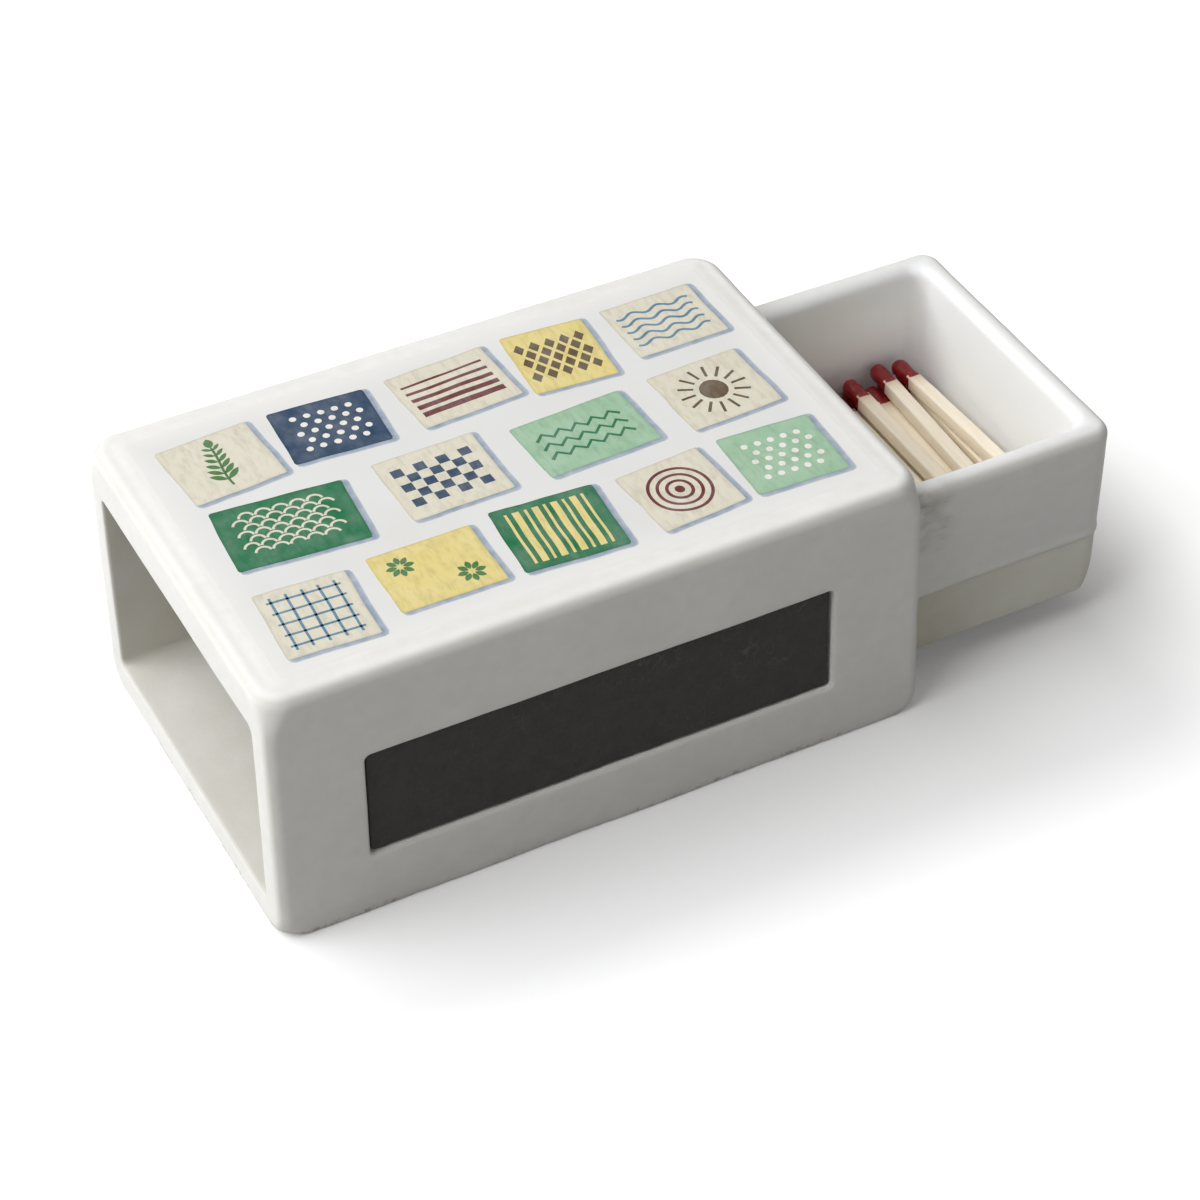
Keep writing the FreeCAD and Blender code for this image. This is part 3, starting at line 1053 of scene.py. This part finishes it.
def add_stick(skin, match, tones, shares_along):
    """A square stick with softened edges, uneven along its length and a little bowed."""
    rings = []
    for share in np.linspace(0, 1, STICK_STATIONS):
        along = share * match.length
        bow = STICK_BOW * math.sin(math.pi * share) * (2 * match.chance(1) - 1)
        half = match.half * (1 - STICK_SHRINK_SHARE * cloud(match.at(along, (0, 0)), STICK_SHRINK_SIZE))
        square = rounded_outline((-half, -half), (half, half), 2 * half * STICK_EDGE_SHARE, STICK_CELLS, 1)
        twisted = turned(square, STICK_TWIST * (match.chance(2) - 0.5) * share)
        slant = (match.chance(3) - 0.5) * STICK_SLANT if share == 0 else 0.0
        rings.append([match.at(along + slant * abs(point[0] - half), point + (bow, 0)) for point in twisted])
    first = len(skin.points)
    skin.add_closed(skin.add_points(rings), STICK_CELLS)
    added = np.array(skin.points[first:])
    tones.extend([match.chance(4)] * len(added))
    shares_along.extend(((added - match.tail) @ match.axis / match.length).tolist())


def add_head(skin, match):
    """A dipped head: it wraps the end of the stick, swells and ends in a blunt, lumpy tip."""
    head_length = np.linalg.norm(match.tip - match.neck)
    shoulder = head_length - match.radius
    rings = []
    for share in np.sin(np.linspace(0, math.pi / 2, HEAD_RINGS)):
        along = -SKIRT + (head_length + SKIRT) * share * HEAD_REACH_SHARE
        swell = smooth_share(along, -SKIRT, shoulder * HEAD_SWELL_SHARE)
        radius = match.radius * (HEAD_NECK_SHARE + (1 - HEAD_NECK_SHARE) * swell)
        past = max(along - shoulder, 0.0) / match.radius
        closing = math.sqrt(max(1 - past * past, 0.0))
        squareness = 1 - smooth_share(along, -SKIRT, HEAD_SQUARE_LENGTH)
        ring = []
        for turn in shares(HEAD_AROUND):
            direction = on_circle(2 * math.pi * turn)
            corner = np.linalg.norm(direction / np.abs(direction).max() * match.half * HEAD_WRAP_SHARE)
            square = min(corner, match.half * HEAD_CORNER_SHARE)
            reach = squareness * square + (1 - squareness) * radius
            place = match.at(match.length + along, direction * reach * closing)
            lump = HEAD_LUMP * (cloud(place, HEAD_LUMP_SIZE) - HEAD_LUMP_LEVEL)
            sag_cloud = cloud(match.tail + np.append(direction, 0) * MM, HEAD_SAG_SIZE)
            sag = HEAD_SAG * (sag_cloud - 0.5) * squareness
            ring.append(match.at(match.length + along + sag, direction * (reach + lump) * closing))
        rings.append(ring)
    numbers = skin.add_points(rings)
    skin.add_wall(numbers)
    skin.add_faces([numbers[0].tolist(), numbers[-1].tolist()])


def make_matches(stick_node, head_node, wood, paste):
    """The sticks and the heads of one pair of nodes."""
    sticks = Skin()
    heads = Skin()
    tones = []
    shares_along = []
    for stick, head in zip(islands(stick_node), islands(head_node)):
        match = Match(stick, head)
        add_stick(sticks, match, tones, shares_along)
        add_head(heads, match)
    stick_piece = sticks.to_piece(stick_node + "_wood", [wood])
    carry(stick_piece, "tone", tones)
    carry(stick_piece, "along", shares_along)
    head_piece = heads.to_piece(head_node + "_paste", [paste])
    settle(stick_piece, nodes[stick_node]["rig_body"], "match_wood", stick_node)
    settle(head_piece, nodes[head_node]["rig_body"], "match_head", head_node)


def add_plate(skin, outlines, low, thickness, cells, finish, marks):
    """A thin closed plate: its first outline is its underside, and the others lie on top of it."""
    heights = [low] + [low + thickness] * (len(outlines) - 1)
    rings = [skin.add_points(np.insert(outline, 2, height, axis=1), mark)
             for outline, height, mark in zip(outlines, heights, marks)]
    skin.add_closed(np.array(rings), cells, finish)


def make_film(finish):
    """The printed film: a thin sheet on the roof whose edge slopes down to the glaze."""
    low, high = box_of("printed_transfer")
    cells = cell_counts(low[:2], high[:2], 0, FILM_CELL, FILM_ARC_CELLS)
    outlines = []
    for inset in (0.0, FILM_SLOPE, FILM_FADE / 2, FILM_FADE):
        corner = max(FILM_CORNER - inset, FILM_LEAST_CORNER)
        outlines.append(rounded_outline(low[:2] + inset, high[:2] - inset, corner, cells, FILM_ARC_CELLS))
    skin = Skin()
    add_plate(skin, outlines, low[2], FILM_THICKNESS, cells, 0, FILM_MARKS)
    piece = skin.to_piece("film", [finish], smooth=False)
    lean_end(piece)
    settle(piece, "sleeve", "printed_film", "printed_transfer")


def stroke(path, width):
    """The outline of a brush stroke along a path."""
    path = np.asarray(path, float)
    run = np.gradient(path, axis=0)
    run /= np.linalg.norm(run, axis=1)[:, None]
    side = np.stack([-run[:, 1], run[:, 0]], axis=1) * width / 2
    return np.vstack([path + side, (path - side)[::-1]])


def line(start, end, width, count=8):
    """A straight stroke."""
    return stroke(np.linspace(start, end, count), width)


def disc(centre, radius, count=18):
    """A round dab."""
    return np.asarray(centre) + radius * np.array([on_circle(2 * math.pi * share) for share in shares(count)])


def leaf(base, angle, length, width, count=7):
    """A pointed leaf that grows from its base."""
    along = np.linspace(0, 1, count)[:, None]
    middle = np.asarray(base) + on_circle(angle) * length * along
    side = on_circle(angle + math.pi / 2) * width / 2 * np.sin(math.pi * along) ** 0.8
    return np.vstack([middle + side, (middle - side)[-2:0:-1]])


def places_across(half, pitch):
    """Evenly spaced places about zero that stay within a half width."""
    count = int(half / pitch)
    return [pitch * step for step in range(-count, count + 1)]


def staggered(half, pitch, row_pitch, margin, row_margin):
    """Places in rows, each row over the gaps of the last, that stay within a half size less the margins."""
    places = []
    for row, y in enumerate(places_across(half[1] - row_margin, row_pitch)):
        shift = pitch / 2 if row % 2 else 0.0
        xs = [x + shift for x in places_across(half[0], pitch)]
        places += [(x, y) for x in xs if abs(x) < half[0] - margin]
    return places


def stripes(half):
    """Upright stripes, every other one thin."""
    widths = (0.45 * MM, 1.1 * MM)
    pitch = 1.55 * MM
    return [line((x, -half[1]), (x, half[1]), widths[index % 2])
            for index, x in enumerate(places_across(half[0], pitch))]


def bands(half):
    """Level bands that get thinner towards the top."""
    width = 0.845 * MM
    thinning = 0.52 * MM
    pitch = 1.9 * MM
    return [line((-half[0], y), (half[0], y), width - thinning * y / half[1])
            for y in places_across(half[1], pitch)]


def dots(half):
    """Rows of round dabs, each row over the gaps of the last."""
    radius = 0.58 * MM
    pitch = 2.3 * MM
    margin = 0.5 * MM
    return [disc(place, radius, 12) for place in staggered(half, pitch, 0.85 * pitch, margin, margin)]


def checks(half):
    """Every other square of a grid."""
    pitch = 1.9 * MM
    side = 0.96 * pitch
    marks = []
    for row, y in enumerate(places_across(half[1] - pitch / 2, pitch)):
        for column, x in enumerate(places_across(half[0] - pitch / 2, pitch)):
            if (row + column) % 2 == 0:
                marks.append(line((x - side / 2, y), (x + side / 2, y), side, 3))
    return marks


def zigzags(half):
    """Level zigzag strokes."""
    width = 0.6 * MM
    pitch = 2.4 * MM
    tooth = 1.5 * MM
    rises = (-0.65 * MM, 0.65 * MM)
    margin = 0.8 * MM
    xs = places_across(half[0], tooth)
    return [stroke([(x, y + rises[index % 2]) for index, x in enumerate(xs)], width)
            for y in places_across(half[1] - margin, pitch)]


def waves(half):
    """Level wavy strokes."""
    width = 0.5 * MM
    pitch = 1.9 * MM
    rise = 0.5 * MM
    run = 0.75 * MM
    margin = 0.6 * MM
    xs = np.linspace(-half[0], half[0], 36)
    return [stroke([(x, y + rise * math.sin(x / run)) for x in xs], width)
            for y in places_across(half[1] - margin, pitch)]


def diamonds(half):
    """A field of upright diamonds."""
    pitch = np.array([2.6, 3.8]) * MM
    margins = 0.5 * MM, 0.9 * MM
    diamond = disc((0, 0), 0.36, 4) * pitch
    return [diamond + place
            for place in staggered(half, pitch[0], pitch[1] / 2, *margins)]


def lattice(half):
    """Fine strokes that cross each other both ways."""
    width = 0.42 * MM
    pitch = 2.5 * MM
    upright = [line((x, -half[1]), (x, half[1]), width) for x in places_across(half[0], pitch)]
    level = [line((-half[0], y), (half[0], y), width) for y in places_across(half[1], pitch)]
    return upright + level


def rings(half):
    """Rings within each other."""
    width = 0.55 * MM
    middle = 0.8 * MM
    first = 2.0 * MM
    pitch = 1.5 * MM
    circle = np.array([on_circle(2 * math.pi * share) for share in np.linspace(0, 1, 40)])
    radii = np.arange(first, min(half), pitch)
    return [disc((0, 0), middle)] + [stroke(radius * circle, width) for radius in radii]


def sprig(half):
    """An upright sprig with pairs of leaves."""
    width = 0.4 * MM
    bend = 0.5 * MM
    gap = 0.12 * MM
    top_width = 1.5 * MM
    top_share, first_share, loss_share, leaf_width_share = 0.42, 0.55, 0.045, 0.36
    reach = half[1] * 0.95
    stem = [(bend * math.sin(2 * share), reach * share) for share in np.linspace(-1, 0.75, 14)]
    marks = [stroke(stem, width), leaf(stem[-1], math.radians(86), reach * top_share, top_width)]
    for index, place in enumerate(stem[2:-1:2]):
        length = reach * (first_share - loss_share * index)
        for angle in (math.radians(38), math.radians(142)):
            marks.append(leaf(place + gap * on_circle(angle), angle, length, length * leaf_width_share))
    return marks


def rosettes(half):
    """A few round flowers of eight petals."""
    gap = 0.5 * MM
    spread_share, width_share = 0.95, 0.42
    reach = min(half) * 0.44
    marks = []
    for corner in ((-1, 1), (1, -1)):
        centre = np.array(corner) * (np.array(half) - reach) * spread_share
        marks += [leaf(centre + gap * on_circle(angle), angle, reach - gap, reach * width_share)
                  for angle in 2 * math.pi * shares(8)]
    return marks


def rays(half):
    """A disc with short rays round it."""
    width = 0.5 * MM
    disc_share, start_share, end_share = 0.4, 0.55, 0.98
    reach = min(half)
    spokes = [on_circle(angle) for angle in 2 * math.pi * shares(14)]
    marks = [line(reach * start_share * spoke, reach * end_share * spoke, width, 3) for spoke in spokes]
    return [disc((0, 0), reach * disc_share)] + marks


def scales(half):
    """Rows of small arcs, each row over the gaps of the last."""
    width = 0.42 * MM
    pitch = 2.7 * MM
    row_margin = 0.9 * MM
    arc = pitch * 0.44 * np.array([on_circle(angle) for angle in np.linspace(0.15, 3.0, 12)])
    return [stroke(place + arc, width)
            for place in staggered(half, pitch, 0.52 * pitch, 0.4 * pitch, row_margin)]


# The design: the tiles of each row, as ground, ink, motif, and width and depth in millimetres
COLOURS = {
    "cream": (226, 220, 200), "green": (30, 112, 72), "leaf": (72, 122, 66), "navy": (40, 66, 94),
    "yellow": (232, 214, 138), "mint": (160, 196, 164), "maroon": (104, 42, 46), "brown": (96, 78, 52),
    "blue": (92, 134, 160), "white": (240, 238, 230),
}
DESIGN = (
    (("cream", "leaf", sprig, 15.5, 14.5), ("navy", "white", dots, 16.0, 13.5),
     ("cream", "maroon", bands, 17.5, 14.0), ("yellow", "brown", diamonds, 14.5, 15.5),
     ("cream", "blue", waves, 16.5, 14.0)),
    (("green", "cream", scales, 21.0, 14.5), ("cream", "navy", checks, 17.0, 15.0),
     ("mint", "green", zigzags, 20.0, 13.5), ("cream", "brown", rays, 16.5, 15.0)),
    (("cream", "blue", lattice, 14.5, 15.0), ("yellow", "leaf", rosettes, 17.0, 13.5),
     ("green", "yellow", stripes, 17.0, 15.0), ("cream", "maroon", rings, 15.0, 14.5),
     ("mint", "white", dots, 16.0, 14.5)),
)


class Tile:
    """One tile of the design: where it lies on the film and how it is turned."""

    def __init__(self, centre, width, depth):
        sway = math.sin(SWAY_ALONG * (centre[0] + centre[1]))
        self.centre = np.array(centre) + SWAY * np.array([sway, math.cos(SWAY_ACROSS * centre[0])])
        self.turn = SWAY_TURN * sway
        self.half = np.array([width, depth]) * MM / 2
        self.cells = cell_counts(-self.half, self.half, 0, TILE_CELL, 1)

    def outline(self, inset):
        """The tile's own outline, drawn in by an inset."""
        corner = max(TILE_CORNER - inset, TILE_LEAST_CORNER)
        return rounded_outline(-self.half + inset, self.half - inset, corner, self.cells, 1)

    def placed(self, points):
        """Points of the tile on the film, with the wobble of a brush."""
        points = turned(points, self.turn) + self.centre
        wobble = [[noise.noise(Vector(place) / WOBBLE_SIZE) for place in ((x, y, 0), (y, x, 1))]
                  for x, y in points]
        return points + TILE_WOBBLE * np.array(wobble)

    def add_coat(self, skin, low, thickness, finish, insets, marks, shift=(0, 0)):
        """A coat of paint in the tile's form, from its edge to its middle, with marks for its tones."""
        outlines = [self.placed(self.outline(inset)) + shift for inset in insets]
        add_plate(skin, outlines, low, thickness, self.cells, finish, marks)

    def add_ink(self, skin, outline, low, finish):
        """One painted mark of the tile's motif."""
        flat = self.placed(outline)
        under = skin.add_points(np.insert(flat, 2, low, axis=1))
        over = skin.add_points(np.insert(flat, 2, low + INK_THICKNESS, axis=1))
        skin.add_wall(np.array([under, over]), finish)
        skin.add_faces([under[::-1].tolist(), over.tolist()], finish)


def make_tiles(paints, shadow):
    """All tiles of the design, each with its shadow beyond two sides, its ground and its motif."""
    film_low, film_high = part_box("printed_transfer")
    wash_low = film_low.z + FILM_THICKNESS
    ground_low = wash_low + WASH_THICKNESS
    for row, tiles in enumerate(DESIGN):
        taken = sum(width for ground, ink, motif, width, depth in tiles) * MM
        gap = (film_high.x - film_low.x - taken) / (len(tiles) + 1)
        x = film_low.x
        for column, (ground, ink, motif, width, depth) in enumerate(tiles):
            middle = x + gap + width * MM / 2
            x += gap + width * MM
            tile = Tile((middle, (1 - row) * ROW_PITCH), width, depth)
            skin = Skin()
            tile.add_coat(skin, wash_low, WASH_THICKNESS, 0, WASH_INSETS, WASH_MARKS, WASH_SHIFT)
            tile.add_coat(skin, ground_low, TILE_THICKNESS, 1, TILE_INSETS, TILE_MARKS)
            for outline in motif(tile.half - TILE_MARGIN):
                tile.add_ink(skin, outline, ground_low + TILE_THICKNESS, 2)
            name = f"printed_tile_{row + 1}_{column + 1}"
            piece = skin.to_piece(name, [shadow, paints[ground], paints[ink]], smooth=False)
            lean_end(piece)
            settle(piece, "sleeve", "printed_film")


def make_floor():
    """A plain floor that keeps the object's shadow near it, with a painted glow that grows away from the
    object and fades the shadow to white farther off.
    """
    mesh = bpy.data.meshes.new("floor")
    half = FLOOR_SIZE / 2
    corners = [(-half, -half, 0), (half, -half, 0), (half, half, 0), (-half, half, 0)]
    mesh.from_pydata(corners, [], [(0, 1, 2, 3)])
    floor = put_in_scene("floor", mesh)
    finish = Finish("floor_white", Roughness=0.9, Specular_IOR_Level=0.0, Emission_Color=WHITE)
    shown = finish.rays_that_see()
    low, high = [Vector((corner[0], corner[1], 0)) for corner in cad_box]
    low.y -= FADE_FRONT
    high.x -= FADE_RIGHT
    # Painted light: where seen, the floor glows more the farther it lies from the object, so the shadow fades
    # to white away from it.
    away = finish.away_from(low, high)
    near = finish.spread(finish.ease(away, *FADE_NEAR), *LIFT_NEAR)
    far = finish.spread(finish.ease(away, *FADE_FAR), *LIFT_FAR)
    painted_glow = finish.times(shown, finish.reckon("ADD", near, far))
    finish.ground(shown, FLOOR_GREY, FLOOR_WHITE)
    mesh.materials.append(finish.done(Emission_Strength=painted_glow))


def make_world():
    """Even, slightly warm light from all round, and white for the rays that see past the floor."""
    world = bpy.data.worlds.new("studio")
    bpy.context.scene.world = world
    world.use_nodes = True
    graph = Graph(world.node_tree)
    light = graph.tree.nodes["Background"]
    graph.give(light, {"Color": AMBIENT_COLOUR, "Strength": AMBIENT_STRENGTH})
    white = graph.add("ShaderNodeBackground", {"Color": WHITE})["Background"]
    shaders = {0: graph.rays_that_see(), 1: light.outputs["Background"], 2: white}
    either = graph.add("ShaderNodeMixShader", shaders)["Shader"]
    graph.give(graph.tree.nodes["World Output"], {"Surface": either})


def make_lamp(name, place, size, power):
    """A large soft lamp that faces the object."""
    light = bpy.data.lights.new(name, "AREA")
    light.shape = "DISK"
    light.size = size
    light.energy = power
    light.color = LAMP_COLOUR
    lamp = put_in_scene(name, light)
    lamp.location = place
    lamp.rotation_mode = "QUATERNION"
    lamp.rotation_quaternion = (-Vector(place)).to_track_quat("-Z", "Y")


def make_camera():
    """The photograph's camera."""
    lens = bpy.data.cameras.new("camera")
    lens.lens = CAMERA_LENS
    lens.sensor_width = CAMERA_SENSOR
    lens.clip_start = CAMERA_NEAREST
    lens.clip_end = CAMERA_FARTHEST
    camera = put_in_scene("camera", lens)
    right = Vector((math.cos(CAMERA_AZIMUTH), math.sin(CAMERA_AZIMUTH), 0))
    level_back = Vector((math.sin(CAMERA_AZIMUTH), -math.cos(CAMERA_AZIMUTH), 0))
    back = level_back * math.cos(CAMERA_ELEVATION) + Vector((0, 0, math.sin(CAMERA_ELEVATION)))
    upwards = back.cross(right)
    aim = Vector((0, 0, AIM_HEIGHT)) + right * AIM_TO_RIGHT + upwards * AIM_UPWARDS
    camera.location = aim + back * CAMERA_DISTANCE
    camera.rotation_mode = "QUATERNION"
    camera.rotation_quaternion = Matrix((right, upwards, back)).transposed().to_quaternion()
    bpy.context.scene.camera = camera


bpy.context.scene.view_settings.view_transform = "Standard"
make_sleeve([sleeve_glaze(), matt_ceramic(), bare_ceramic("sleeve_biscuit", SLEEVE_BASE_DARK_END)])
make_tray([tray_glaze(), bare_ceramic("tray_biscuit", TRAY_SHADE_END)])
make_strip(striking_compound())
wood = match_wood()
paste = match_head()
for stick_node in sorted(name for name in nodes if name.startswith("match_stick")):
    make_matches(stick_node, stick_node.replace("stick", "head"), wood, paste)
make_film(film_white())
make_tiles({name: painted(f"paint_{name}", colour) for name, colour in COLOURS.items()}, painted_shadow())
make_floor()
make_world()
make_lamp("main_lamp", MAIN_PLACE, MAIN_SIZE, MAIN_POWER)
make_lamp("fill_lamp", FILL_PLACE, FILL_SIZE, FILL_POWER)
make_camera()
